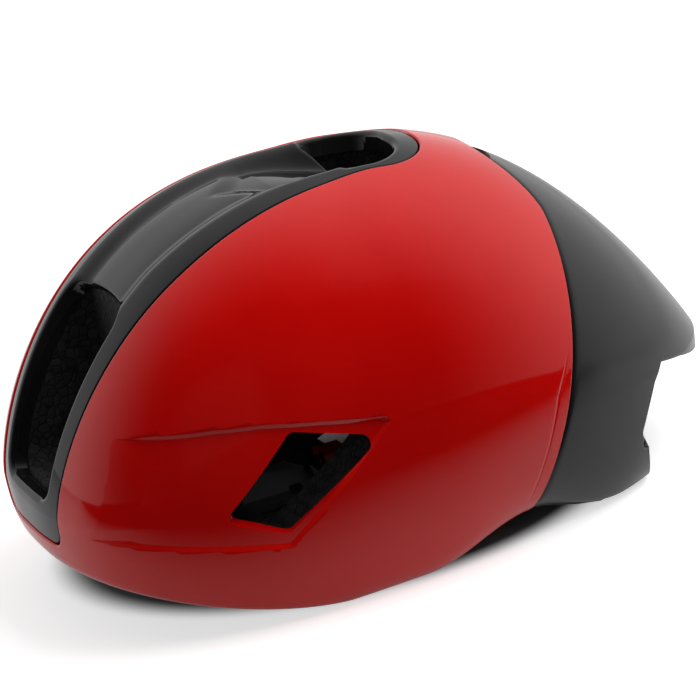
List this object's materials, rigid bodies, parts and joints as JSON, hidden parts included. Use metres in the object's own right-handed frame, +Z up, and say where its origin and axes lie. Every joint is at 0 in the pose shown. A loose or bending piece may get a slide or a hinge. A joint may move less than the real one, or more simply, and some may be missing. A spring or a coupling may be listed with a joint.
{
  "type": "aero road bike helmet",
  "caption": "Aero road helmet: smooth red shell with a black centre channel, slanted side vents, black overhanging tail and an inner head cradle with size dial, pads and chin strap.",
  "frame": {"origin": "middle of the head opening in the plane that the helmet stands on, level with the ear side straps' dividers", "axes": "+Z up, the front of the helmet faces -Y, the wearer's left is +X"},
  "size_m": [0.2004, 0.301, 0.1566],
  "materials": {
    "red_shell": "clear-coated gloss red polycarbonate",
    "rear_shell_black": "satin-gloss black polycarbonate",
    "gloss_black": "high-gloss black moulding",
    "rim_black": "fine-textured black polycarbonate",
    "foam": "black expanded polystyrene with visible beads",
    "nylon": "spark-eroded matte nylon",
    "band_nylon": "flexible satin nylon",
    "lever_red": "satin red acetal",
    "pad_cloth": "brushed knit over foam",
    "hook_tape": "hook tape",
    "webbing": "woven polyester",
    "soft_rubber": "matte moulded rubber",
    "magnet": "nickel-plated",
    "screw_steel": "zinc-plated"
  },
  "bodies": {
    "helmet": {"front_shell": "red_shell", "rear_shell": "rear_shell_black", "centre_insert": "gloss_black", "lower_rim": "rim_black", "eps_liner": "foam", "strap_anchors": "nylon", "pivot_socket_left": "nylon", "pivot_socket_right": "nylon", "height_strip": "nylon", "brow_pad": "pad_cloth", "temple_pad_left": "pad_cloth", "temple_pad_right": "pad_cloth", "crown_pad_left": "pad_cloth", "crown_pad_right": "pad_cloth", "pad_dots": "hook_tape", "strap_front_left": "webbing", "strap_front_right": "webbing", "strap_rear_left": "webbing", "strap_rear_right": "webbing", "divider_left": "nylon", "divider_right": "nylon", "chin_strap_left": "webbing", "chin_strap_right": "webbing", "chin_pad": "pad_cloth", "strap_keeper": "soft_rubber", "buckle_socket": "nylon", "buckle_magnet": "magnet"},
    "cradle": {"cradle_housing": "nylon", "cradle_cover": "nylon", "cradle_screws": "screw_steel", "clip_left": "nylon", "clip_right": "nylon", "nape_pad": "pad_cloth"},
    "dial": {"dial_knob": "nylon", "dial_grip": "soft_rubber", "dial_pinion": "nylon"},
    "arm_left": {"arm_left": "band_nylon"},
    "arm_right": {"arm_right": "band_nylon"},
    "cam_left": {"cam_left": "lever_red"},
    "cam_right": {"cam_right": "lever_red"},
    "plug": {"buckle_plug": "nylon"}
  },
  "joints": [
    {"name": "cradle_height", "type": "hinge", "parent": "helmet", "child": "cradle", "pos_m": [0, -0.025, 0.042], "axis": [1, 0, 0], "range_deg": [-3, 4]},
    {"name": "dial_turn", "type": "hinge", "parent": "cradle", "child": "dial", "pos_m": [0, 0.09, 0.042], "axis": [0, 1, 0], "range_deg": [0, 120]},
    {"name": "arm_left_swing", "type": "hinge", "parent": "cradle", "child": "arm_left", "pos_m": [0.0703, -0.012, 0.042], "axis": [0, 0, 1], "range_deg": [0, 4.2]},
    {"name": "arm_right_swing", "type": "hinge", "parent": "cradle", "child": "arm_right", "pos_m": [-0.0703, -0.012, 0.042], "axis": [0, 0, 1], "range_deg": [-4.2, 0]},
    {"name": "cam_left_lift", "type": "hinge", "parent": "helmet", "child": "cam_left", "pos_m": [0.041, 0.01, 0.0091], "axis": [0, -1, 0], "range_deg": [0, 90]},
    {"name": "cam_right_lift", "type": "hinge", "parent": "helmet", "child": "cam_right", "pos_m": [-0.041, 0.01, 0.0091], "axis": [0, 1, 0], "range_deg": [0, 90]},
    {"name": "buckle_slide", "type": "slide", "parent": "helmet", "child": "plug", "axis": [0, -1, 0], "range_m": [0, 0.024], "deforming": ["chin_strap_right"]}
  ],
  "couplings": [
    {"joint": "arm_left_swing", "follows": "dial_turn", "ratio": 0.0343},
    {"joint": "arm_right_swing", "follows": "dial_turn", "ratio": -0.0343}
  ]
}
